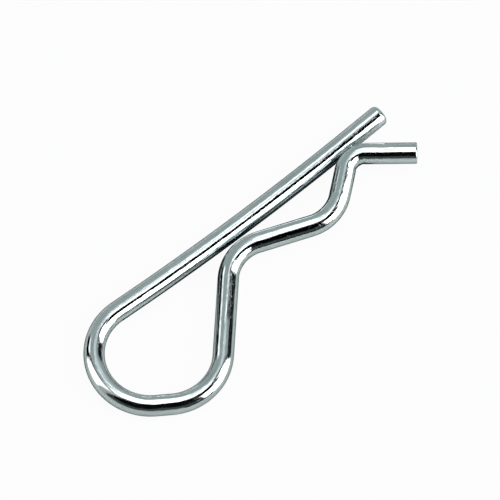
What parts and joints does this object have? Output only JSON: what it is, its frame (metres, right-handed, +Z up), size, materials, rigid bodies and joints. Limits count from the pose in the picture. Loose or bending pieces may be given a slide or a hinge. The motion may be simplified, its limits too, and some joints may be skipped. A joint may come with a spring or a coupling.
{
  "type": "hitch r clip pin",
  "caption": "Spring wire clip that keeps a cross-drilled shaft in place: a straight leg and a waved leg with a saddle and a flared tip, joined by a round bow.",
  "frame": {"origin": "middle of the base of the bounding box, with the clip lying flat on z = 0", "axes": "+X along the straight leg from the bow to its cut end, +Y from the waved leg towards the straight leg, +Z up out of the plane of the bends"},
  "size_m": [0.0771, 0.0268, 0.0057],
  "materials": {
    "spring_wire": "bright zinc plated, smooth, with fine draw lines along the wire"
  },
  "bodies": {
    "root": {"spring_wire": "spring_wire"}
  },
  "joints": []
}
